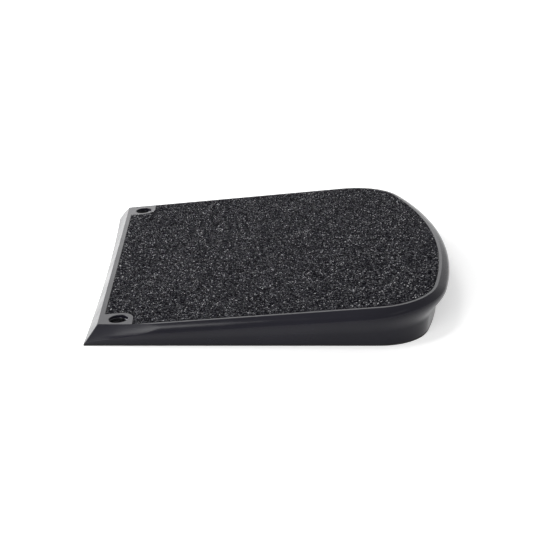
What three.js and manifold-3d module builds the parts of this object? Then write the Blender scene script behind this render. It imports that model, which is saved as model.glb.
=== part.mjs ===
// A low wedge ramp: a moulded body with a rolled lip and a ribbed underside, a grit sheet glued into
// its top face, a rubber strip and rubber pads under it, and a steel sleeve in each of two bolt holes.
//
// Millimetres, +Z up. +X runs up the slope, from the thin end to the thick round end. Apart from the
// one cheek, the ramp is the same on both sides of Y = 0. Shapes are drawn with x = 0 at the thin edge,
// and the last group moves them so that the origin is at the middle of the footprint, on the ground.

import * as THREE from "three";
import { mergeVertices } from "three/addons/utils/BufferGeometryUtils.js";
import Module from "manifold-3d";

const wasm = await Module();
wasm.setup();

// The wedge.
const THIN_HEIGHT = 9.3; // top face, where the end bevel meets it
const SLOPE = 0.09; // rise of the top face per millimetre of run
const BEVEL_TOP = 6.6; // where the thin end's steep bevel meets the top face
const EDGE_BOW = 1.8; // how far the thin edge bows inwards at its middle
const LIP_DROP = 4.35; // depth of the lip's widest line under the top face
const RIM_WIDTH = 1.6; // flat rim between the grit sheet and the shoulder
const FLARE_START = 0.43; // share of the wall's height that stays upright

// U-shaped outlines, open at the thin end: two sides, two corner arcs and one wide end arc.
// halfWidth is taken at x = 0, and splay is how much it grows per millimetre of x.
const FOOT = { halfWidth: 100, splay: 0, apex: 192.6, cornerRadius: 30, endRadius: 228 };
const LIP = { halfWidth: 101.6, splay: 0.04, apex: 197.8, cornerRadius: 46, endRadius: 271.5 };
const SHEET = { halfWidth: 96.7, splay: 0.027, apex: 191.9, cornerRadius: 32, endRadius: 264 };
const STEPS = { side: 10, corner: 12, end: 9, thinEdge: 12 };

// The flat cheek that slants off the right side (y < 0) of the thin end, a plane through three points.
const PLATE_HALF_WIDTH = 94; // top face, at the bevel
const CHEEK_FOOT = { x: 1.2, z: 2.47 }; // on the upright wall, at the bevel
const CHEEK_TIP = { x: 35, reach: 3.5, drop: 1.57 }; // on the shoulder, where the cheek runs out

// Bolt holes and the steel sleeves pressed in from below.
const HOLE = { x: 16.9, y: 89.1, radius: 4.85 };
const SLEEVE_WALL = 1.1;
const SLEEVE_COVER = 1.5; // plastic left above the sleeve

// The grit sheet, its glue film and the shallow recess they lie in.
const SHEET_START = 9.3;
const NOTCH_RADIUS = 7.6; // round each bolt hole
const RECESS_DEPTH = 0.7;
const RECESS_GAP = 0.35; // all round the sheet
const GLUE_THICKNESS = 0.2;
const SHEET_PROUD = 0.35; // grit above the plastic
const GLUE_INSET = 0.6; // the film stops short of the sheet's edge

// The underside.
const GROUND_STRIP = { thickness: 0.9, width: 4.5 };
const PLATE_THICKNESS = 4.2; // top face to pocket ceiling
const WALL = 6; // foot of the wall, from outside to the pockets
const POCKET_START = 32;
const RIB = 2.4;
const RIB_Y = [-64, -32, 0, 32, 64];
const RIB_X = [64, 98, 132, 166];
const PAD = { radius: 8, height: 2, edge: 0.6, bossRadius: 10.5 };
const PAD_X = [64, 166];
const PAD_Y = [-64, 0, 64];

const CLEAR = 0.05; // between pieces that touch
const FAR = 600; // size of the blocks that cut everything on one side of a plane
const DEEP = 60; // height of a cutter that passes right through

const topHeight = (x) => THIN_HEIGHT + SLOPE * (x - BEVEL_TOP);
const bodyFloor = GROUND_STRIP.thickness + CLEAR;

// ---- outlines ----

const arc = (centre, radius, from, to, steps) =>
  Array.from({ length: steps + 1 }, (_, i) => {
    const angle = THREE.MathUtils.lerp(from, to, i / steps);
    return new THREE.Vector2(
      centre.x + radius * Math.cos(angle),
      centre.y + radius * Math.sin(angle),
    );
  });

// Half of an outline (y >= 0), from the apex round to startX, moved outwards by grow.
function halfOutline(form, startX, grow = 0) {
  const stretch = Math.hypot(1, form.splay);
  const sideAt = (x) => form.halfWidth + grow * stretch + form.splay * x;
  const cornerRadius = form.cornerRadius + grow;
  const endRadius = form.endRadius + grow;
  const endCentre = new THREE.Vector2(form.apex - form.endRadius, 0);

  // The corner's centre is cornerRadius inside the side and on a circle about the end's centre.
  const inner = sideAt(0) - cornerRadius * stretch;
  const a = 1 + form.splay ** 2;
  const b = form.splay * inner - endCentre.x;
  const c = endCentre.x ** 2 + inner ** 2 - (endRadius - cornerRadius) ** 2;
  const cornerX = (-b + Math.sqrt(b * b - a * c)) / a;
  const corner = new THREE.Vector2(cornerX, inner + form.splay * cornerX);

  const joinAngle = Math.atan2(corner.y, corner.x - endCentre.x);
  const sideAngle = Math.PI / 2 + Math.atan(form.splay);
  const end = arc(endCentre, endRadius, 0, joinAngle, STEPS.end);
  const bend = arc(corner, cornerRadius, joinAngle, sideAngle, STEPS.corner).slice(1);
  const tangentX = bend.at(-1).x;
  const side = Array.from({ length: STEPS.side }, (_, i) => {
    const x = THREE.MathUtils.lerp(tangentX, startX, (i + 1) / STEPS.side);
    return new THREE.Vector2(x, sideAt(x));
  });
  return [...end, ...bend, ...side];
}

// The thin edge, from y > 0 to y < 0: the foot's ends joined by a shallow inward bow.
const bowAt = (y) => EDGE_BOW * Math.max(0, 1 - (y / FOOT.halfWidth) ** 2);
const thinEdgeYs = Array.from({ length: STEPS.thinEdge + 1 }, (_, i) =>
  THREE.MathUtils.lerp(FOOT.halfWidth, -FOOT.halfWidth, i / STEPS.thinEdge),
);

const mirrored = (points) => points.map((p) => new THREE.Vector2(p.x, -p.y));

// The whole outline, anticlockwise seen from above, starting at the thin end with y < 0.
function outline(form, startX, grow = 0) {
  const half = halfOutline(form, startX, grow);
  return [...mirrored(half).reverse(), ...half.slice(1)];
}

// The grit sheet's outline: it leaves out a rounded notch at each bolt hole.
function sheetOutline(grow) {
  const radius = NOTCH_RADIUS - grow;
  const half = halfOutline(SHEET, HOLE.x + radius, grow);
  const notch = arc(HOLE, radius, 0, -Math.PI / 2, STEPS.corner);
  const corner = new THREE.Vector2(SHEET_START - grow, HOLE.y - radius);
  const side = [...half, ...notch, corner];
  return [...mirrored(side).reverse(), ...side.slice(1)];
}

// ---- solids ----

function solid(geometry) {
  const plain = geometry.clone();
  plain.deleteAttribute("normal");
  plain.deleteAttribute("uv");
  const merged = mergeVertices(plain, 1e-4);
  return new wasm.Manifold(
    new wasm.Mesh({
      numProp: 3,
      vertProperties: merged.attributes.position.array,
      triVerts: new Uint32Array(merged.index.array),
    }),
  );
}

function geometryOf(manifold) {
  const { numProp, vertProperties, triVerts } = manifold.getMesh();
  const position = new Float32Array((vertProperties.length / numProp) * 3);
  for (let i = 0; i < position.length / 3; i++) {
    position.set(vertProperties.subarray(i * numProp, i * numProp + 3), i * 3);
  }
  const indexed = new THREE.BufferGeometry();
  indexed.setAttribute("position", new THREE.BufferAttribute(position, 3));
  indexed.setIndex(new THREE.BufferAttribute(triVerts, 1));
  const flat = indexed.toNonIndexed();
  flat.computeVertexNormals();
  return flat;
}

// A closed skin through rings of points that match one to one, lowest ring first.
function loft(rings) {
  const count = rings[0].length;
  const last = (rings.length - 1) * count;
  const index = [];
  for (let level = 0; level < rings.length - 1; level++) {
    for (let i = 0; i < count; i++) {
      const a = level * count + i;
      const b = level * count + ((i + 1) % count);
      index.push(a, b, b + count, a, b + count, a + count);
    }
  }
  for (const [a, b, c] of THREE.ShapeUtils.triangulateShape(rings[0], [])) index.push(a, c, b);
  for (const [a, b, c] of THREE.ShapeUtils.triangulateShape(rings.at(-1), [])) {
    index.push(last + a, last + b, last + c);
  }
  const geometry = new THREE.BufferGeometry().setFromPoints(rings.flat());
  geometry.setIndex(index);
  return geometry;
}

const prism = (contour, depth, hole) => {
  const shape = new THREE.Shape(contour);
  if (hole) shape.holes.push(new THREE.Path(hole));
  return new THREE.ExtrudeGeometry(shape, { depth, bevelEnabled: false });
};

// Tilts a flat piece to the top face: its z = 0 plane lands height above that face.
const onSlope = (geometry, height) =>
  geometry.applyMatrix4(
    new THREE.Matrix4().set(1, 0, 0, 0, 0, 1, 0, 0, SLOPE, 0, 1, topHeight(0) + height, 0, 0, 0, 1),
  );

// Everything on the side of a plane that its normal points to.
function beyond(plane) {
  const turn = new THREE.Quaternion().setFromUnitVectors(new THREE.Vector3(0, 0, 1), plane.normal);
  const foot = plane.coplanarPoint(new THREE.Vector3());
  return new THREE.BoxGeometry(FAR, FAR, FAR)
    .translate(0, 0, FAR / 2)
    .applyQuaternion(turn)
    .translate(foot.x, foot.y, foot.z);
}

const upright = (radius, bottom, top, x, y) =>
  new THREE.CylinderGeometry(radius, radius, top - bottom, 40)
    .rotateX(Math.PI / 2)
    .translate(x, y, (bottom + top) / 2);

// A turned piece about an upright axis, from a closed or axis-to-axis profile of [radius, height].
const turned = (profile) =>
  new THREE.LatheGeometry(
    profile.map(([radius, height]) => new THREE.Vector2(radius, height)),
    40,
  ).rotateX(Math.PI / 2);

// ---- body ----

// The outer skin: upright foot, concave flare up to the lip, shoulder curving in to the flat rim.
function bodySkin() {
  const startX = -BEVEL_TOP;
  const foot = outline(FOOT, startX);
  const lip = outline(LIP, startX);
  const rim = outline(SHEET, startX, RIM_WIDTH);
  const between = (from, to, share, heightAt) =>
    from.map((p, i) => {
      const point = p.clone().lerp(to[i], share);
      return new THREE.Vector3(point.x, point.y, heightAt(point.x));
    });
  const wall = [0, 0.22, 0.43, 0.55, 0.66, 0.76, 0.85, 0.93, 1].map((share) => {
    const out = THREE.MathUtils.smoothstep(share, FLARE_START, 1);
    const heightAt = (x) => THREE.MathUtils.lerp(bodyFloor, topHeight(x) - LIP_DROP, share);
    return between(foot, lip, out, heightAt);
  });
  const shoulder = [0.8, 0.6, 0.42, 0.26, 0.12, 0].map((fall) => {
    const out = 1 - (1 - fall) ** 2;
    return between(rim, lip, out, (x) => topHeight(x) - LIP_DROP * fall);
  });
  return loft([...wall, ...shoulder]);
}

// Everything outside the bevel, which runs from the bowed thin edge up to a straight line.
function outsideBevel() {
  const sections = [FAR, ...thinEdgeYs, -FAR].map((y) =>
    [
      [bowAt(y), -DEEP],
      [bowAt(y), bodyFloor],
      [BEVEL_TOP, THIN_HEIGHT],
      [BEVEL_TOP, DEEP],
      [-FAR, DEEP],
      [-FAR, -DEEP],
    ].map(([x, z]) => new THREE.Vector3(x, z, -y)),
  );
  return loft(sections).rotateX(Math.PI / 2);
}

// What the thin end loses: the bevel across it and the flat cheek on its right side.
function thinEndCuts() {
  const tipY = SHEET.halfWidth + SHEET.splay * CHEEK_TIP.x + CHEEK_TIP.reach;
  const cheek = new THREE.Plane().setFromCoplanarPoints(
    new THREE.Vector3(CHEEK_FOOT.x, -FOOT.halfWidth, CHEEK_FOOT.z),
    new THREE.Vector3(BEVEL_TOP, -PLATE_HALF_WIDTH, THIN_HEIGHT),
    new THREE.Vector3(CHEEK_TIP.x, -tipY, topHeight(CHEEK_TIP.x) - CHEEK_TIP.drop),
  );
  if (cheek.normal.y > 0) cheek.negate();
  return [outsideBevel(), beyond(cheek)];
}

// The hollow under the top plate, less the ribs and the bosses that carry the pads.
function pockets() {
  const contour = outline(FOOT, POCKET_START, -WALL);
  const hollow = prism(contour, DEEP).translate(0, 0, -DEEP);
  let space = solid(onSlope(hollow, -PLATE_THICKNESS));
  for (const y of RIB_Y) {
    space = space.subtract(solid(new THREE.BoxGeometry(FAR, RIB, FAR).translate(0, y, 0)));
  }
  for (const x of RIB_X) {
    space = space.subtract(solid(new THREE.BoxGeometry(RIB, FAR, FAR).translate(x, 0, 0)));
  }
  for (const [x, y] of padPlaces()) {
    space = space.subtract(solid(upright(PAD.bossRadius, -DEEP, DEEP, x, y)));
  }
  return space;
}

const padPlaces = () => PAD_X.flatMap((x) => PAD_Y.map((y) => [x, y]));
const sleeveTop = topHeight(HOLE.x) - SLEEVE_COVER;

function bodyGeometry() {
  let body = solid(bodySkin());
  for (const cut of thinEndCuts()) body = body.subtract(solid(cut));
  const recess = onSlope(prism(sheetOutline(RECESS_GAP), DEEP), -RECESS_DEPTH);
  body = body.subtract(solid(recess)).subtract(pockets());
  for (const [x, y] of padPlaces()) {
    const seat = upright(PAD.radius + CLEAR, -DEEP, PAD.height + CLEAR, x, y);
    body = body.subtract(solid(seat));
  }
  for (const y of [-HOLE.y, HOLE.y]) {
    const bore = upright(HOLE.radius + SLEEVE_WALL + CLEAR, -DEEP, sleeveTop + CLEAR, HOLE.x, y);
    const hole = upright(HOLE.radius, 0, DEEP, HOLE.x, y);
    body = body.subtract(solid(bore)).subtract(solid(hole));
  }
  return geometryOf(body);
}

// ---- the other pieces ----

const sheetBottom = -RECESS_DEPTH + CLEAR + GLUE_THICKNESS + CLEAR;

const gluedFilmGeometry = () =>
  onSlope(prism(sheetOutline(-GLUE_INSET), GLUE_THICKNESS), -RECESS_DEPTH + CLEAR);

const gritSheetGeometry = () => onSlope(prism(sheetOutline(0), SHEET_PROUD - sheetBottom), sheetBottom);

function groundStripGeometry() {
  const { thickness, width } = GROUND_STRIP;
  const thinEdge = thinEdgeYs.slice(1, -1).map((y) => new THREE.Vector2(bowAt(y), y));
  return prism([...outline(FOOT, 0), ...thinEdge], thickness, outline(FOOT, width, -width));
}

const sleeveGeometry = () =>
  turned([
    [HOLE.radius, bodyFloor],
    [HOLE.radius + SLEEVE_WALL, bodyFloor],
    [HOLE.radius + SLEEVE_WALL, sleeveTop],
    [HOLE.radius, sleeveTop],
    [HOLE.radius, bodyFloor],
  ]);

const padGeometry = () =>
  turned([
    [0, 0],
    [PAD.radius - PAD.edge, 0],
    [PAD.radius, PAD.edge],
    [PAD.radius, PAD.height],
    [0, PAD.height],
  ]);

// ---- assembly ----

const finish = (color, roughness, metalness = 0) =>
  new THREE.MeshStandardMaterial({ color, roughness, metalness });

const BLACK_PLASTIC = finish(0x1c1c21, 0.35);
const GRIT = finish(0x2b2b2d, 0.95);
const GLUE = finish(0x3a3833, 0.6);
const BLACK_RUBBER = finish(0x121212, 0.85);
const BLACKENED_STEEL = finish(0x2a2a2c, 0.3, 0.9);

const ramp = new THREE.Group();
ramp.position.x = -LIP.apex / 2;

function place(name, geometry, material, x = 0, y = 0) {
  const mesh = new THREE.Mesh(geometry, material);
  mesh.name = name;
  mesh.position.set(x, y, 0);
  ramp.add(mesh);
}

place("ramp_body", bodyGeometry(), BLACK_PLASTIC);
place("grit_sheet", gritSheetGeometry(), GRIT);
place("glue_film", gluedFilmGeometry(), GLUE);
place("ground_strip", groundStripGeometry(), BLACK_RUBBER);
place("bolt_sleeve_right", sleeveGeometry(), BLACKENED_STEEL, HOLE.x, -HOLE.y);
place("bolt_sleeve_left", sleeveGeometry(), BLACKENED_STEEL, HOLE.x, HOLE.y);
padPlaces().forEach(([x, y], i) => {
  place(`rubber_pad_${i + 1}`, padGeometry(), BLACK_RUBBER, x, y);
});

const root = new THREE.Group();
root.add(ramp);

export default root;
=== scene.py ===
"""The wedge ramp leveler as it looks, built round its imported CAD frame.

Shapes are worked out in millimetres in the design frame: x = 0 at the thin edge, +X up the slope, z = 0 on
the ground, y = 0 on the centre plane. place() turns them into metres in the row frame.
"""

import math

import bmesh
import bpy
import numpy as np
from mathutils import Matrix, Vector
from mathutils.geometry import delaunay_2d_cdt


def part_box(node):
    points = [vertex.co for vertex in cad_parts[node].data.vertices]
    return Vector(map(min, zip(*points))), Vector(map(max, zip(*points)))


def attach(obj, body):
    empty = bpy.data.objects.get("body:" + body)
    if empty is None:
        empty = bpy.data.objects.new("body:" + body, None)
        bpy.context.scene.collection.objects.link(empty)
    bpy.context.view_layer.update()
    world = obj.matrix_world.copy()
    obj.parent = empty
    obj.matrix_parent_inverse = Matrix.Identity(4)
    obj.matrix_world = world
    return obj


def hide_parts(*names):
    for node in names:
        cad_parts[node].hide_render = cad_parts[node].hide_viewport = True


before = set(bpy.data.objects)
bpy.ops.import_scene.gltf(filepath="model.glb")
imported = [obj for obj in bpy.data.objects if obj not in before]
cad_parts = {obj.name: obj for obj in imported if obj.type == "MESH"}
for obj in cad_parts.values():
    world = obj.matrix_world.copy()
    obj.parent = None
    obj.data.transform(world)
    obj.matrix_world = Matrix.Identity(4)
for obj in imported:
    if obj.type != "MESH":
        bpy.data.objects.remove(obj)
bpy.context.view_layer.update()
ROOT = "root"
MM = 0.001

# ---- sizes read from the frame, in millimetres of the design frame ----

THIN_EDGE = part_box("ground_strip")[0].x


def design_box(node):
    """A CAD node's lowest and highest corners in the design frame."""
    low, high = (Vector(corner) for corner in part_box(node))
    shift = Vector((THIN_EDGE, 0.0, 0.0))
    return (low - shift) / MM, (high - shift) / MM


def design_centre(node):
    low, high = design_box(node)
    return (low.x + high.x) / 2, (low.y + high.y) / 2


_, strip_high = design_box("ground_strip")
sheet_low, sheet_high = design_box("grit_sheet")
body_low, body_high = design_box("ramp_body")
sleeve_low, sleeve_high = design_box("bolt_sleeve_left")
pad_low, pad_high = design_box("rubber_pad_1")
PADS = [f"rubber_pad_{i}" for i in range(1, 7)]

# ---- driving dimensions, as in the CAD ----

SLOPE = 0.09
THIN_HEIGHT = 9.3
BEVEL_TOP = 6.6
EDGE_BOW = 1.8
BODY_FLOOR = body_low.z
LIP_DROP = 4.35
RIM_WIDTH = 1.6
FLARE_START = 0.43
FLARE_CHANGE = (140.0, 186.0)  # x over which the side's even draft turns into the flare of the thick end
FOOT = {"half": strip_high.y, "splay": 0.0, "apex": strip_high.x, "corner": 30.0, "end": 228.0}
LIP = {"half": 101.6, "splay": 0.04, "apex": body_high.x, "corner": 46.0, "end": 271.5}
SHEET = {"half": 96.7, "splay": 0.027, "apex": sheet_high.x, "corner": 32.0, "end": 264.0}
PLATE_HALF_WIDTH = 94.0
CHEEK_FOOT = (1.2, FOOT["half"], 2.47)
CHEEK_TIP = {"x": 35.0, "reach": 3.5, "drop": 1.57}
HOLE_X, HOLE_Y = design_centre("bolt_sleeve_left")
HOLE_RADIUS = 4.85
SLEEVE_RADIUS = (sleeve_high.x - sleeve_low.x) / 2
SHEET_START = sheet_low.x
NOTCH_RADIUS = 7.6
RECESS_DEPTH = 0.7
HOLE_DEPTH = 9.0  # of the cutter, below the top face: it meets the sleeve's bore
CLEAR = 0.05
PLATE_THICKNESS = 4.2
WALL = 6.0
POCKET_START = 32.0
RIB = 2.4
RIB_Y = (-64, -32, 0, 32, 64)
RIB_X = (64, 98, 132, 166)
BOSS_RADIUS = 10.5
STRIP_WIDTH = 4.5

# ---- small shapes that only the looks need ----

EDGE_RADIUS = 0.45  # bevel, cheek and plate
CHEEK_CROWN = 0.5  # how far the cheek stands out at its middle
RIM_RADIUS = 0.2  # inner edge of the rim round the sheet
HOLE_EDGE = 0.5
STRIP_EDGE = 0.22
MOUTH_TURN = math.radians(78)  # how far the edges of the recess and the holes are rounded
SHARP_ANGLE = math.radians(28)
SIDE_STEPS = 56
CORNER_STEPS = 36
BEVEL_STEPS = 40
CHEEK_STEPS = 16
SHORTEST_CHEEK = 0.02  # a ring that the cheek crosses by less than this has none
LEFT_STEP = 4.0  # the left side has its own even points where the right side has the cheek's
WALL_LEVELS = 30
SHOULDER_LEVELS = 22
SHOULDER_CROWDING = 1.8  # above 1, the shoulder's rings crowd towards the top face
END_STEPS = 44
NOTCH_STEPS = 20


def top_height(x):
    return THIN_HEIGHT + SLOPE * (x - BEVEL_TOP)


def smoothstep(value, low, high):
    t = np.clip((value - low) / (high - low), 0.0, 1.0)
    return t * t * (3 - 2 * t)


def place(points):
    """Design millimetres to metres in the row frame."""
    points = np.asarray(points, float)
    return points * MM + np.array([THIN_EDGE, 0.0, 0.0])


# ---- outlines in plan ----


def arc(centre, radius, start, end, steps):
    angles = np.linspace(start, end, steps + 1)
    return np.column_stack([centre[0] + radius * np.cos(angles), centre[1] + radius * np.sin(angles)])


def u_curve(form, grow=0.0):
    """Half a U-shaped outline moved out by grow: its side as a line y = y0 + slope x, and its bend from the
    end of that line round to the apex."""
    stretch = math.hypot(1, form["splay"])
    y0 = form["half"] + grow * stretch
    corner_radius = form["corner"] + grow
    end_radius = form["end"] + grow
    end_x = form["apex"] - form["end"]
    inner = y0 - corner_radius * stretch
    a = 1 + form["splay"] ** 2
    b = form["splay"] * inner - end_x
    c = end_x**2 + inner**2 - (end_radius - corner_radius) ** 2
    corner_x = (-b + math.sqrt(b * b - a * c)) / a
    corner = (corner_x, inner + form["splay"] * corner_x)
    join = math.atan2(corner[1], corner[0] - end_x)
    side = math.pi / 2 + math.atan(form["splay"])
    bend = arc(corner, corner_radius, side, join, CORNER_STEPS)
    end = arc((end_x, 0.0), end_radius, join, 0.0, END_STEPS)[1:]
    end[-1, 1] = 0.0
    return y0, form["splay"], np.concatenate([bend, end])


def joined_loop(right, left):
    """A closed anticlockwise loop from two half outlines, each drawn on the y >= 0 side, from the thin end
    to the apex. The right one is turned over to y <= 0."""
    starts_on_centre = abs(right[0, 1]) < 1e-9
    first = right * np.array([1, -1])
    return np.concatenate([first[1:] if starts_on_centre else first, left[::-1][1:]])


def mirrored_loop(half):
    return joined_loop(half, half)


def u_loop(form, start_x, grow=0.0):
    y0, slope, bend = u_curve(form, grow)
    x = np.linspace(start_x, bend[0, 0], SIDE_STEPS)[:-1]
    side = np.column_stack([x, y0 + slope * x])
    return mirrored_loop(np.concatenate([side, bend]))


def bow(y):
    """How far the thin edge lies inside the straight line between its ends."""
    return EDGE_BOW * np.maximum(0.0, 1 - (y / FOOT["half"]) ** 2)


def sheet_half(grow):
    """Half the sheet's outline, with its notch round the bolt hole, from the thin end to the apex."""
    radius = NOTCH_RADIUS - grow
    y0, slope, bend = u_curve(SHEET, grow)
    notch = arc((HOLE_X, HOLE_Y), radius, -math.pi / 2, 0.0, NOTCH_STEPS)
    corner = [[SHEET_START - grow, HOLE_Y - radius]]
    x = np.linspace(HOLE_X + radius, bend[0, 0], SIDE_STEPS)[:-1]
    side = np.column_stack([x, y0 + slope * x])
    return np.concatenate([corner, notch, side, bend])


# ---- mesh helpers ----

MERGE_DISTANCE = 2e-6  # metres

def make_object(name, points, faces):
    mesh = bpy.data.meshes.new(name)
    mesh.from_pydata(place(points).tolist(), [], [list(map(int, f)) for f in faces])
    mesh.validate()
    obj = bpy.data.objects.new(name, mesh)
    bpy.context.scene.collection.objects.link(obj)
    tidy_mesh(obj)
    return obj


def tidy_mesh(obj):
    """Joins doubled points, drops empty faces and turns every face outwards."""
    work = bmesh.new()
    work.from_mesh(obj.data)
    bmesh.ops.remove_doubles(work, verts=work.verts, dist=MERGE_DISTANCE)
    bmesh.ops.dissolve_degenerate(work, edges=work.edges, dist=MERGE_DISTANCE / 2)
    bmesh.ops.recalc_face_normals(work, faces=work.faces)
    work.to_mesh(obj.data)
    work.free()


def stack(rings, bottom=True, top=True):
    """Points and faces of a skin through closed rings that match one to one, lowest first."""
    count = len(rings[0])
    faces = []
    for level in range(len(rings) - 1):
        low = level * count
        for i in range(count):
            j = (i + 1) % count
            faces.append((low + i, low + j, low + count + j, low + count + i))
    last = (len(rings) - 1) * count
    if bottom:
        faces.append(tuple(range(count))[::-1])
    if top:
        faces.append(tuple(range(last, last + count)))
    return np.concatenate(rings), faces


def level_ring(loop, height):
    """A plan loop lifted to a height, which is a number or a function of x."""
    z = height(loop[:, 0]) if callable(height) else np.full(len(loop), float(height))
    return np.column_stack([loop, z])


def circle(radius, centre=(0.0, 0.0), steps=96):
    return arc(centre, radius, 0.0, 2 * math.pi, steps)[:-1]


def combine(target, other, operation):
    """Joins or cuts target with other, which is then deleted."""
    modifier = target.modifiers.new("cut", "BOOLEAN")
    modifier.operation = operation
    modifier.solver = "EXACT"
    modifier.object = other
    graph = bpy.context.evaluated_depsgraph_get()
    mesh = bpy.data.meshes.new_from_object(target.evaluated_get(graph), depsgraph=graph)
    target.modifiers.clear()
    target.data = mesh
    bpy.data.objects.remove(other)


def cut(target, cutters):
    for cutter in cutters:
        combine(target, cutter, "DIFFERENCE")
    tidy_mesh(target)


def shade(obj):
    """Smooth shading that stays flat on flat faces and breaks at real edges."""
    obj.data.shade_smooth()
    obj.data.set_sharp_from_angle(angle=SHARP_ANGLE)
    weighted = obj.modifiers.new("flat_faces", "WEIGHTED_NORMAL")
    weighted.keep_sharp = True


def finish_piece(obj, material, slot, *nodes):
    obj.data.materials.clear()
    obj.data.materials.append(material)
    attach(obj, ROOT)
    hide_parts(*nodes)
    return obj


# ---- the moulded body ----


def plane_through(p, q, r):
    """Coefficients (y0, bx, bz) of the plane y = y0 + bx x + bz z through three points."""
    rows = np.array([[1, p[0], p[2]], [1, q[0], q[2]], [1, r[0], r[2]]], float)
    return np.linalg.solve(rows, np.array([p[1], q[1], r[1]], float))


def cheek_plane():
    x = CHEEK_TIP["x"]
    tip = (x, SHEET["half"] + SHEET["splay"] * x + CHEEK_TIP["reach"], top_height(x) - CHEEK_TIP["drop"])
    return plane_through(CHEEK_FOOT, (BEVEL_TOP, PLATE_HALF_WIDTH, THIN_HEIGHT), tip)


def rounding(depth, fall):
    """How far a rounded edge stands inside a sharp one, depth below the top face. fall is the angle at which
    the side drops away from the top face."""
    if depth >= EDGE_RADIUS * (1 - math.cos(fall)):
        return 0.0
    sharp = depth / math.tan(fall)
    round_edge = math.sqrt(max(0.0, 2 * EDGE_RADIUS * depth - depth**2)) - EDGE_RADIUS * math.tan(fall / 2)
    return sharp - round_edge


def corner_arc(before, corner, after, steps=6):
    """A short curve that rounds the corner between two straight stretches."""
    lengths = [np.linalg.norm(before - corner), np.linalg.norm(after - corner)]
    reach = min(EDGE_RADIUS, 0.45 * min(lengths))
    start = corner + (before - corner) / max(lengths[0], 1e-9) * reach
    end = corner + (after - corner) / max(lengths[1], 1e-9) * reach
    t = np.linspace(0, 1, steps + 1)[:, None]
    return (1 - t) ** 2 * start + 2 * t * (1 - t) * corner + t**2 * end


def body_ring(base, rise, y_line, bend, inset_bevel=0.0, inset_cheek=0.0):
    """One ring of the body's skin in the plane z = base + rise x: across the bevel, along the right
    side's cheek where it reaches this ring, then round the side. y_line is the side's straight stretch,
    (y0, slope)."""
    height = THIN_HEIGHT - BODY_FLOOR

    def bevel_x(y):
        lean = (BEVEL_TOP - bow(y)) / height
        return (bow(y) + lean * (base - BODY_FLOOR)) / (1 - lean * rise) + inset_bevel

    def side_y(x):
        return y_line[0] + y_line[1] * x

    y0, bx, bz = cheek_plane()
    cheek_y0 = y0 + bz * base - inset_cheek
    cheek_slope = bx + bz * rise
    leave_x = (y_line[0] - cheek_y0) / (cheek_slope - y_line[1])

    def half_ring(has_cheek, end_x=None):
        corner_y = FOOT["half"]
        for _ in range(6):  # settles on where the bevel meets the cheek or the side
            corner_x = float(bevel_x(corner_y))
            corner_y = cheek_y0 + cheek_slope * corner_x if has_cheek else side_y(corner_x)
        corner = np.array([corner_x, corner_y])
        after_x = leave_x if has_cheek else bend[0, 0]
        after = np.array([after_x, side_y(after_x)])
        before_y = corner_y - 3 * EDGE_RADIUS
        rounded = corner_arc(np.array([float(bevel_x(before_y)), before_y]), corner, after)
        y = np.linspace(0, rounded[0, 1], BEVEL_STEPS + 1)[:-1]
        across = np.column_stack([bevel_x(y), y])
        end_of_cheek = rounded[-1] if end_x is None else np.array([end_x, side_y(end_x)])
        share = np.linspace(0, 1, CHEEK_STEPS + 1)[1:, None]
        cheek = rounded[-1] + (end_of_cheek - rounded[-1]) * share
        reach = (end_of_cheek[0] - rounded[-1, 0]) / CHEEK_TIP["x"]
        if has_cheek:
            cheek[:, 1:] += 4 * CHEEK_CROWN * reach**2 * share * (1 - share)
        x = np.linspace(end_of_cheek[0], bend[0, 0], SIDE_STEPS)[1:-1]
        side = np.column_stack([x, side_y(x)])
        return np.concatenate([across, rounded, cheek, side, bend])

    thin_x = bevel_x(FOOT["half"])
    right = half_ring(True, leave_x) if leave_x > thin_x + SHORTEST_CHEEK else half_ring(False)
    left = half_ring(False, max(leave_x, thin_x + LEFT_STEP))
    loop = joined_loop(right, left)
    return level_ring(loop, lambda x: base + rise * x)


def body_rings():
    start_x = -BEVEL_TOP

    def outline(form, grow=0.0):
        y0, slope, bend = u_curve(form, grow)
        return np.concatenate([[[start_x, y0 + slope * start_x]], bend])

    foot, lip, rim = outline(FOOT), outline(LIP), outline(SHEET, RIM_WIDTH)
    bevel_fall = math.atan2(THIN_HEIGHT - BODY_FLOOR, BEVEL_TOP)
    cheek_fall = math.atan(-1 / cheek_plane()[2])

    def ring(start, end, out, base, rise, *insets):
        edge = start + (end - start) * out
        (x0, y0), (x1, y1) = edge[:2]
        slope = (y1 - y0) / (x1 - x0)
        return body_ring(base, rise, (y0 - slope * x0, slope), edge[1:], *insets)

    rings = []
    flared = smoothstep(foot[:, :1], *FLARE_CHANGE)
    for share in np.linspace(0, 1, WALL_LEVELS):
        out = (1 - flared) * share + flared * smoothstep(share, FLARE_START, 1.0)
        base = BODY_FLOOR * (1 - share) + share * (top_height(0) - LIP_DROP)
        rings.append(ring(foot, lip, out, base, share * SLOPE))
    for fall in np.linspace(1, 0, SHOULDER_LEVELS + 1)[1:] ** SHOULDER_CROWDING:
        depth = LIP_DROP * fall
        insets = rounding(depth, bevel_fall), rounding(depth, cheek_fall)
        rings.append(ring(rim, lip, 1 - (1 - fall) ** 2, top_height(0) - depth, SLOPE, *insets))
    return rings


def rounded_mouth(outline_at, depth, radius, steps=5):
    """A cutter whose mouth opens in a rounded edge just below the top face, then stands straight through it.
    outline_at(grow) is its plan loop."""
    above = 3.0
    rings = [level_ring(outline_at(0.0), lambda x: top_height(x) - depth)]
    for angle in np.linspace(0, MOUTH_TURN, steps + 1):
        grow = radius * (1 - math.cos(angle))
        drop = radius * (1 - math.sin(angle))
        rings.append(level_ring(outline_at(grow), lambda x: top_height(x) - drop))
    rings.append(level_ring(outline_at(grow), lambda x: top_height(x) + above))
    return stack(rings)


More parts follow.
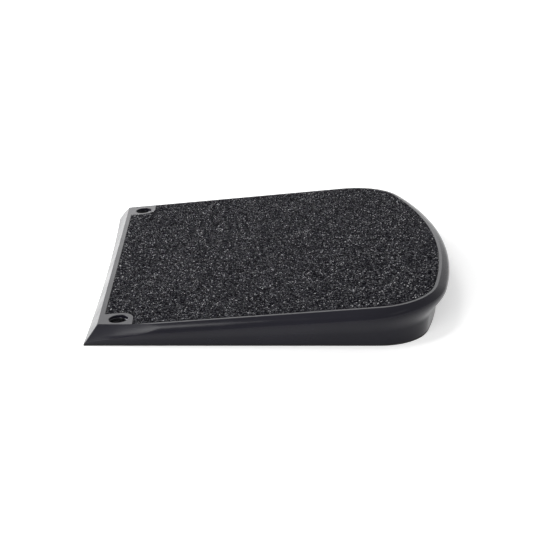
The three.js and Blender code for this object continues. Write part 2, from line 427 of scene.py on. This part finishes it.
def recess_cutter():
    rings = rounded_mouth(lambda grow: mirrored_loop(sheet_half(grow)), RECESS_DEPTH, RIM_RADIUS)
    return make_object("recess_cutter", *rings)


def hole_cutters():
    cutters = []
    for side in (-1, 1):
        centre = (HOLE_X, side * HOLE_Y)
        mouth = rounded_mouth(lambda grow: circle(HOLE_RADIUS + grow, centre), HOLE_DEPTH, HOLE_EDGE)
        cutters.append(make_object("hole_cutter", *mouth))
        bore = circle(SLEEVE_RADIUS + CLEAR, centre)
        rings = [level_ring(bore, -1.0), level_ring(bore, sleeve_high.z + CLEAR)]
        cutters.append(make_object("bore_cutter", *stack(rings)))
    return cutters


def prism(name, loop, low, high):
    return make_object(name, *stack([level_ring(loop, low), level_ring(loop, high)]))


def rectangle(x0, x1, y0, y1):
    return np.array([[x0, y0], [x1, y0], [x1, y1], [x0, y1]], float)


def pocket_cutter():
    """The hollow under the top plate, less the ribs and the bosses that carry the pads."""
    far = 300.0
    below = -5.0
    above = 60.0
    outline = u_loop(FOOT, POCKET_START, -WALL)
    hollow = prism("hollow", outline, below, lambda x: top_height(x) - PLATE_THICKNESS)
    kept = [rectangle(-far, far, y - RIB / 2, y + RIB / 2) for y in RIB_Y]
    kept += [rectangle(x - RIB / 2, x + RIB / 2, -far, far) for x in RIB_X]
    kept += [circle(BOSS_RADIUS, design_centre(node), 48) for node in PADS]
    for loop in kept:
        combine(hollow, prism("kept", loop, 2 * below, above), "DIFFERENCE")
    return hollow


def pad_seat_cutters():
    radius = (pad_high.x - pad_low.x) / 2 + CLEAR
    for node in PADS:
        yield prism("pad_seat", circle(radius, design_centre(node), 64), -1.0, pad_high.z + CLEAR)


def moulded_body(material):
    body = make_object("moulded_body", *stack(body_rings()))
    cutters = [recess_cutter(), *hole_cutters(), pocket_cutter(), *pad_seat_cutters()]
    cut(body, cutters)
    shade(body)
    return finish_piece(body, material, "moulded_plastic", "ramp_body")


# ---- the grit sheet ----

GRAIN_PITCH = 1.15
GRAIN_JITTER = 0.38
GRIT_INSET = 0.25  # how far the grit stays inside the sheet's outline
GRIT_LOW = -0.03  # film between the grains, above the top face
GRIT_RELIEF = 0.48  # the tallest grains, above the film
SHEET_FLOOR = -0.4
GRAIN_CELL = 0.0006  # metres across each patch of colour in the grit


def resampled(loop, pitch):
    """A closed loop with points pitch apart."""
    closed = np.vstack([loop, loop[:1]])
    lengths = np.r_[0, np.cumsum(np.linalg.norm(np.diff(closed, axis=0), axis=1))]
    count = int(lengths[-1] / pitch)
    at = np.linspace(0, lengths[-1], count, endpoint=False)
    return np.column_stack([np.interp(at, lengths, closed[:, k]) for k in (0, 1)])


def inside(points, loop):
    """Which points lie inside a closed loop."""
    result = np.zeros(len(points), bool)
    for (x0, y0), (x1, y1) in zip(loop, np.roll(loop, -1, axis=0)):
        if y0 == y1:
            continue
        crosses = (points[:, 1] < y0) != (points[:, 1] < y1)
        at = x0 + (points[:, 1] - y0) * (x1 - x0) / (y1 - y0)
        result ^= crosses & (points[:, 0] < at)
    return result


def grain_centres(edge, rng):
    """Jittered rows of grain centres, all inside the sheet's edge."""
    low, high = edge.min(0), edge.max(0)
    x = np.arange(low[0], high[0], GRAIN_PITCH)
    y = np.arange(low[1], high[1], GRAIN_PITCH * math.sqrt(0.75))
    grid = np.stack(np.meshgrid(x, y, indexing="ij"), -1)
    grid[:, 1::2, 0] += GRAIN_PITCH / 2
    centres = grid.reshape(-1, 2) + rng.uniform(-GRAIN_JITTER, GRAIN_JITTER, (grid.size // 2, 2))
    return centres[inside(centres, mirrored_loop(sheet_half(-GRIT_INSET - GRAIN_PITCH / 2)))]


def grain_faces(triangles, centre_of):
    """Turns a net of triangles between grain centres into facets: each grain gets a ring of facets from its
    centre down to the middles of the triangles round it."""
    across = {}
    for index, (a, b, c) in enumerate(triangles):
        for edge in ((a, b), (b, c), (c, a)):
            across[edge] = centre_of + index
    faces = []
    for (a, b), left in across.items():
        right = across.get((b, a))
        faces.append((a, b, left) if right is None else (a, right, left))
    return faces


def grit_sheet(material):
    rng = np.random.default_rng(11)
    edge = resampled(mirrored_loop(sheet_half(-GRIT_INSET)), GRAIN_PITCH * 0.8)
    edge = edge + rng.normal(0, 0.05, edge.shape)
    plan = np.concatenate([edge, grain_centres(edge, rng)])
    corners = [Vector(p) for p in plan.tolist()]
    flat, _, triangles, origin, _, _ = delaunay_2d_cdt(corners, [], [list(range(len(edge)))], 1, 1e-5)
    flat = np.array([tuple(p) for p in flat])
    peak = GRIT_RELIEF * rng.uniform(0.3, 1.0, len(flat)) ** 1.3
    is_edge = np.array([any(k < len(edge) for k in o) for o in origin])
    peak[is_edge] = rng.uniform(0.0, 0.35, is_edge.sum())
    middles = flat[np.array(triangles)].mean(1)
    middles += rng.normal(0, 0.08, middles.shape)
    dip = rng.uniform(0.0, 0.12, len(middles))
    points = np.concatenate([flat, middles])
    height = GRIT_LOW + np.concatenate([peak, dip])
    top = np.column_stack([points, top_height(points[:, 0]) + height])
    obj = make_object("grit_surface", top, grain_faces(triangles, len(flat)))
    close_below(obj, SHEET_FLOOR)
    obj.data.shade_flat()
    return finish_piece(obj, material, "grit", "grit_sheet")


def close_below(obj, floor):
    """Closes an open sheet into a slab whose underside lies floor above the top face."""
    work = bmesh.new()
    work.from_mesh(obj.data)
    rim = [e for e in work.edges if e.is_boundary]
    lowered = bmesh.ops.extrude_edge_only(work, edges=rim)["geom"]
    for vert in (g for g in lowered if isinstance(g, bmesh.types.BMVert)):
        x = (vert.co.x - THIN_EDGE) / MM
        vert.co.z = (top_height(x) + floor) * MM
    bottom = [g for g in lowered if isinstance(g, bmesh.types.BMEdge) and g.is_boundary]
    bmesh.ops.contextual_create(work, geom=bottom)
    bmesh.ops.recalc_face_normals(work, faces=work.faces)
    work.to_mesh(obj.data)
    work.free()


# ---- rubber and steel ----


def strip_loop(inset):
    """The strip's outline, inset from its outer edge: bowed along the thin edge, then round the foot."""
    y0, _, bend = u_curve(FOOT, -inset)
    y = np.linspace(0, y0, 31)
    thin = np.column_stack([bow(y) + (STRIP_WIDTH - bow(y)) * inset / STRIP_WIDTH, y])
    x = np.linspace(thin[-1, 0], bend[0, 0], SIDE_STEPS)[1:-1]
    side = np.column_stack([x, np.full_like(x, y0)])
    return mirrored_loop(np.concatenate([thin, side, bend]))


def ground_strip(material):
    """A flat rubber strip with rounded edges, all round the foot."""
    thickness = strip_high.z
    quarter = np.linspace(0, math.pi / 2, 5)
    curve = [(STRIP_EDGE * (1 - math.sin(a)), STRIP_EDGE * (1 - math.cos(a))) for a in quarter[::-1]]
    outer = curve[::-1] + [(inset, thickness - rise) for inset, rise in curve]
    section = outer + [(STRIP_WIDTH - inset, z) for inset, z in outer[::-1]]
    rings = [level_ring(strip_loop(inset), z) for inset, z in section]
    points, faces = stack(rings + [rings[0]], bottom=False, top=False)
    strip = make_object("ground_strip_rubber", points, faces)
    shade(strip)
    return finish_piece(strip, material, "ground_rubber", "ground_strip")


def turned(name, profile, centre, steps=96):
    """A turned piece from a closed or axis-to-axis profile of (radius, height)."""
    rings = [level_ring(circle(max(r, 1e-4), centre, steps), z) for r, z in profile]
    return make_object(name, *stack(rings, bottom=False, top=False))


def bolt_sleeve(name, node, material):
    low, high = design_box(node)
    outer = (high.x - low.x) / 2
    inner = HOLE_RADIUS
    chamfer = 0.25
    profile = [
        (inner + chamfer, low.z),
        (outer - chamfer, low.z),
        (outer, low.z + chamfer),
        (outer, high.z - chamfer),
        (outer - chamfer, high.z),
        (inner + chamfer, high.z),
        (inner, high.z - chamfer),
        (inner, low.z + chamfer),
        (inner + chamfer, low.z),
    ]
    sleeve = turned(name, profile, design_centre(node))
    shade(sleeve)
    return finish_piece(sleeve, material, "sleeve_steel", node)


def rubber_pad(name, node, material):
    """A round pad with a rounded edge and ring grooves in the face that grips the ground."""
    low, high = design_box(node)
    radius = (high.x - low.x) / 2
    groove_depth = 0.45
    mouth = 0.5
    root = 0.25
    edge = 0.6
    profile = [(0.0, 0.0)]
    for middle in (2.2, 4.2, 6.2):
        profile += [(middle - mouth, 0.0), (middle - root, groove_depth)]
        profile += [(middle + root, groove_depth), (middle + mouth, 0.0)]
    for angle in np.linspace(0, math.pi / 2, 7):
        profile.append((radius - edge + edge * math.sin(angle), edge - edge * math.cos(angle)))
    profile += [(radius, high.z), (0.0, high.z)]
    pad = turned(name, profile, design_centre(node), 72)
    shade(pad)
    return finish_piece(pad, material, "ground_rubber", node)


# ---- materials ----


class Nodes:
    """A material's node tree, with short calls for the nodes that these materials use."""

    def __init__(self, name):
        self.material = bpy.data.materials.new(name)
        self.material.use_nodes = True
        self.tree = self.material.node_tree
        self.shader = self.tree.nodes["Principled BSDF"]
        self.place = self.add("ShaderNodeTexCoord").outputs["Object"]

    def add(self, kind, **values):
        node = self.tree.nodes.new(kind)
        for key, value in values.items():
            setattr(node, key, value)
        return node

    def link(self, source, target):
        self.tree.links.new(source, target)

    def set(self, **values):
        for key, value in values.items():
            socket = self.shader.inputs[key.replace("_", " ")]
            if isinstance(value, bpy.types.NodeSocket):
                self.link(value, socket)
            else:
                socket.default_value = value

    def noise(self, size, detail=3.0, roughness=0.55, stretch=(1, 1, 1)):
        """Noise whose features are about size metres across."""
        node = self.add("ShaderNodeTexNoise")
        node.inputs["Scale"].default_value = 1 / size
        node.inputs["Detail"].default_value = detail
        node.inputs["Roughness"].default_value = roughness
        mapping = self.add("ShaderNodeMapping")
        mapping.inputs["Scale"].default_value = stretch
        self.link(self.place, mapping.inputs["Vector"])
        self.link(mapping.outputs["Vector"], node.inputs["Vector"])
        return node.outputs["Fac"]

    def cells(self, size):
        """A random colour for each cell, with cells about size metres across."""
        node = self.add("ShaderNodeTexVoronoi")
        node.inputs["Scale"].default_value = 1 / size
        self.link(self.place, node.inputs["Vector"])
        return node.outputs["Color"]

    def between(self, value, low, high, to_low, to_high):
        node = self.add("ShaderNodeMapRange")
        limits = {"From Min": low, "From Max": high, "To Min": to_low, "To Max": to_high}
        for key, number in limits.items():
            node.inputs[key].default_value = number
        self.link(value, node.inputs["Value"])
        return node.outputs["Result"]

    def math(self, operation, a, b):
        node = self.add("ShaderNodeMath", operation=operation)
        for socket, value in zip(node.inputs, (a, b)):
            if isinstance(value, bpy.types.NodeSocket):
                self.link(value, socket)
            else:
                socket.default_value = value
        return node.outputs["Value"]

    def ramp(self, value, *stops):
        """Colours at positions along value, each stop (position, (r, g, b))."""
        node = self.add("ShaderNodeValToRGB")
        elements = node.color_ramp.elements
        while len(elements) < len(stops):
            elements.new(0.5)
        for element, (position, colour) in zip(elements, stops):
            element.position = position
            element.color = (*colour, 1)
        self.link(value, node.inputs["Fac"])
        return node.outputs["Color"]

    def bump(self, *layers):
        """Bump from (height, distance in metres) layers, one over the other."""
        normal = None
        for height, distance in layers:
            node = self.add("ShaderNodeBump")
            node.inputs["Distance"].default_value = distance
            self.link(height, node.inputs["Height"])
            if normal is not None:
                self.link(normal, node.inputs["Normal"])
            normal = node.outputs["Normal"]
        self.link(normal, self.shader.inputs["Normal"])


def plastic_material():
    """Black moulded plastic: a satin skin with slow waviness, fine grain and a few dull smears."""
    nodes = Nodes("moulded_plastic")
    cloud = nodes.noise(0.03, 2)
    smear = nodes.noise(0.012, 4, 0.6, (0.35, 1, 1))
    grain = nodes.noise(0.0007, 2)
    colour = nodes.ramp(cloud, (0.3, (0.0048, 0.0045, 0.0080)), (0.7, (0.0070, 0.0066, 0.0110)))
    nodes.set(
        Base_Color=colour,
        Roughness=nodes.between(smear, 0.3, 0.75, 0.17, 0.26),
        IOR=1.27,
    )
    nodes.bump((nodes.noise(0.02, 1), 0.00012), (grain, 0.00001))
    return nodes.material


def grit_material():
    """Mineral grit in black resin: each grain has its own tone, and the colour darkens towards the low parts
    of the grit, partly the darker resin film between grains and partly painted shade in the hollows.
    """
    nodes = Nodes("grit")
    split = nodes.add("ShaderNodeSeparateXYZ")
    nodes.link(nodes.place, split.inputs["Vector"])
    plane = (top_height(0) - SLOPE * THIN_EDGE / MM) * MM
    rise = nodes.math("MULTIPLY", split.outputs["X"], SLOPE)
    height = nodes.math("SUBTRACT", nodes.math("SUBTRACT", split.outputs["Z"], rise), plane)
    # painted shade: the colour darkens with height below the grain tops, down the grains' sides and into the
    # hollows between them
    depth = nodes.between(height, GRIT_LOW * MM, (GRIT_LOW + 0.6 * GRIT_RELIEF) * MM, 0.45, 1.0)
    grain = nodes.add("ShaderNodeSeparateColor")
    nodes.link(nodes.cells(GRAIN_CELL), grain.inputs["Color"])
    # each grain's own tone times the painted shade of the hollows
    grain_tone_and_painted_shade = nodes.math("MULTIPLY", grain.outputs["Red"], depth)
    colour = nodes.ramp(
        grain_tone_and_painted_shade,
        (0.0, (0.002, 0.002, 0.003)),
        (0.38, (0.006, 0.006, 0.008)),
        (0.62, (0.036, 0.036, 0.042)),
        (0.8, (0.14, 0.14, 0.15)),
        (1.0, (0.68, 0.68, 0.69)),
    )
    nodes.set(
        Base_Color=colour,
        Roughness=nodes.between(grain.outputs["Green"], 0.0, 1.0, 0.3, 0.8),
        Specular_IOR_Level=nodes.between(grain.outputs["Blue"], 0.8, 1.0, 0.0, 0.4),
    )
    nodes.bump((nodes.noise(0.0006, 3, 0.7), 0.0002))
    return nodes.material


def rubber_material():
    nodes = Nodes("ground_rubber")
    cloud = nodes.noise(0.004, 4, 0.6)
    nodes.set(
        Base_Color=nodes.ramp(cloud, (0.3, (0.006, 0.006, 0.006)), (0.75, (0.014, 0.014, 0.014))),
        Roughness=nodes.between(cloud, 0.3, 0.7, 0.72, 0.9),
    )
    nodes.bump((nodes.noise(0.0003, 2), 0.00002))
    return nodes.material


def steel_material():
    """Blackened steel with turning marks round the bore."""
    nodes = Nodes("sleeve_steel")
    marks = nodes.noise(0.0004, 2, 0.5, (0.08, 0.08, 1))
    nodes.set(
        Base_Color=nodes.ramp(marks, (0.3, (0.06, 0.06, 0.065)), (0.7, (0.12, 0.12, 0.13))),
        Metallic=1.0,
        Roughness=nodes.between(marks, 0.3, 0.7, 0.2, 0.34),
    )
    nodes.bump((marks, 0.00001))
    return nodes.material


def glue_material():
    nodes = Nodes("adhesive")
    streaks = nodes.noise(0.003, 4, 0.6, (0.3, 1, 1))
    nodes.set(
        Base_Color=nodes.ramp(streaks, (0.3, (0.09, 0.08, 0.06)), (0.7, (0.16, 0.145, 0.115))),
        Roughness=nodes.between(streaks, 0.3, 0.7, 0.35, 0.6),
    )
    nodes.bump((streaks, 0.00005))
    return nodes.material


# ---- the object ----

PLASTIC = plastic_material()
GRIT = grit_material()
RUBBER = rubber_material()
STEEL = steel_material()

moulded_body(PLASTIC)
grit_sheet(GRIT)
ground_strip(RUBBER)
bolt_sleeve("sleeve_right", "bolt_sleeve_right", STEEL)
bolt_sleeve("sleeve_left", "bolt_sleeve_left", STEEL)
for number, node in enumerate(PADS, 1):
    rubber_pad(f"pad_{number}", node, RUBBER)

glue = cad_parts["glue_film"]
glue.data.materials.clear()
glue.data.materials.append(glue_material())

# ---- stage: floor, light and camera ----

CAMERA_AT = (0.07392, -0.61717, 0.2403)  # from the thin edge
CAMERA_DOWN = 20.86
CAMERA_TURN = -1.976
CAMERA_ROLL = -0.855
FOCAL = 75.87
SENSOR = 36.0
FLOOR_LIFT = 0.4
FLOOR_FADE = (0.4, 1.6)  # distances in metres over which the floor turns plain white
BACKDROP = 2.05  # brightness of the backdrop in reflections
ROOM = 0.8  # brightness of the rest of the room in reflections
AMBIENT = 0.36  # even light from the room
BACKDROP_AT = (-0.25, 0.95, 0.2)
BACKDROP_SPREAD = (0.75, 0.95)  # cosines of the angles from its middle over which it fades in


def studio_floor():
    """A plain white sweep. What the camera sees of it is lifted a little, as white paper is in a studio."""
    size = 6.0
    mesh = bpy.data.meshes.new("floor")
    corners = [(-size, -size, 0), (size, -size, 0), (size, size, 0), (-size, size, 0)]
    mesh.from_pydata(corners, [], [(0, 1, 2, 3)])
    floor = bpy.data.objects.new("floor", mesh)
    bpy.context.scene.collection.objects.link(floor)
    nodes = Nodes("floor")
    rays = nodes.add("ShaderNodeLightPath")
    seen = nodes.math("SUBTRACT", 1.0, rays.outputs["Is Diffuse Ray"])
    lift = nodes.math("MULTIPLY", seen, FLOOR_LIFT)
    distance = nodes.add("ShaderNodeVectorMath", operation="LENGTH")
    nodes.link(nodes.place, distance.inputs[0])
    far = nodes.between(distance.outputs["Value"], *FLOOR_FADE, 0.0, 1.0)
    glow = nodes.math("ADD", lift, nodes.math("MULTIPLY", far, rays.outputs["Is Camera Ray"]))
    nodes.set(
        Base_Color=(0.92, 0.92, 0.92, 1),
        Roughness=0.9,
        Emission_Color=(1, 1, 1, 1),
        Emission_Strength=glow,
    )
    mesh.materials.append(nodes.material)


def soft_light(name, at, width, height, power):
    """An area light that faces the ramp's middle."""
    light = bpy.data.lights.new(name, "AREA")
    light.shape = "RECTANGLE"
    light.size = width
    light.size_y = height
    light.energy = power
    obj = bpy.data.objects.new(name, light)
    obj.location = at
    obj.rotation_euler = (Vector((0, 0, 0.015)) - Vector(at)).to_track_quat("-Z", "Y").to_euler()
    bpy.context.scene.collection.objects.link(obj)
    return obj


def studio_world():
    """A white backdrop behind the ramp, low down, and a dim room elsewhere. The camera itself sees white."""
    world = bpy.data.worlds.new("studio")
    world.use_nodes = True
    bpy.context.scene.world = world
    tree = world.node_tree

    def node(kind, **inputs):
        made = tree.nodes.new(kind)
        for name, value in inputs.items():
            socket = made.inputs[name.replace("_", " ")]
            if isinstance(value, bpy.types.NodeSocket):
                tree.links.new(value, socket)
            else:
                socket.default_value = value
        return made.outputs

    def fade(value, start, end):
        made = node("ShaderNodeMapRange", Value=value, From_Min=start, From_Max=end)
        tree.nodes[-1].interpolation_type = "SMOOTHSTEP"
        return made["Result"]

    towards = tree.nodes.new("ShaderNodeVectorMath")
    towards.operation = "DOT_PRODUCT"
    tree.links.new(node("ShaderNodeTexCoord")["Generated"], towards.inputs[0])
    towards.inputs[1].default_value = Vector(BACKDROP_AT).normalized()
    near_backdrop = fade(towards.outputs["Value"], *BACKDROP_SPREAD)
    glow = node("ShaderNodeMapRange", Value=near_backdrop, To_Min=ROOM, To_Max=BACKDROP)["Result"]
    rays = node("ShaderNodeLightPath")
    lit = node("ShaderNodeMix", Factor=rays["Is Diffuse Ray"], A=glow, B=AMBIENT)["Result"]
    seen = node("ShaderNodeMix", Factor=rays["Is Camera Ray"], A=lit, B=1.0)["Result"]
    background = tree.nodes["Background"]
    background.inputs["Color"].default_value = (1, 1, 1, 1)
    tree.links.new(seen, background.inputs["Strength"])


def studio_camera():
    data = bpy.data.cameras.new("camera")
    data.sensor_width = SENSOR
    data.lens = FOCAL
    camera = bpy.data.objects.new("camera", data)
    turn = Matrix.Rotation(math.radians(CAMERA_TURN), 4, "Z")
    tilt = Matrix.Rotation(math.radians(90 - CAMERA_DOWN), 4, "X")
    roll = Matrix.Rotation(math.radians(-CAMERA_ROLL), 4, "Z")
    at = Vector(CAMERA_AT) + Vector((THIN_EDGE, 0, 0))
    camera.matrix_world = Matrix.Translation(at) @ turn @ tilt @ roll
    bpy.context.scene.collection.objects.link(camera)
    bpy.context.scene.camera = camera


studio_floor()
studio_world()
soft_light("key", (-0.82, 0.28, 0.5), 0.55, 0.55, 10)
soft_light("overhead", (-0.34, -0.34, 0.88), 0.13, 0.4, 2.0)
soft_light("corner", (0.6, -0.65, 0.65), 0.35, 0.35, 0.22)
front = soft_light("front", (-0.6, -1.5, 0.6), 1.0, 1.0, 20)
front.visible_glossy = False
studio_camera()
bpy.context.scene.view_settings.view_transform = "Standard"
